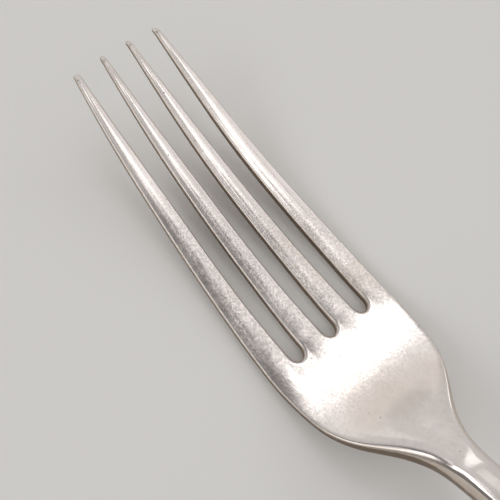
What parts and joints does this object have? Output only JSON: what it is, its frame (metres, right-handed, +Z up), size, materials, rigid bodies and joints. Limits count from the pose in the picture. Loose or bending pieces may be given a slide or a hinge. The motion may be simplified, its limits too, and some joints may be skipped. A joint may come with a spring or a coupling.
{
  "type": "dinner fork",
  "caption": "Plain metal dinner fork in one piece, with slender tapering tines, a rounded palm, a narrow arched neck and a handle widening to a round end.",
  "frame": {"origin": "centre of the bounding box in plan, on the surface that the fork rests on", "axes": "+X along the length toward the tips of the tines, +Z up out of the hollow front, +Y to the left of the tines seen from above with the tips pointing away"},
  "size_m": [0.2053, 0.0246, 0.0232],
  "materials": {
    "silver": "polished silver plate with fine scratches and light tarnish"
  },
  "bodies": {
    "root": {"fork": "silver"}
  },
  "joints": []
}
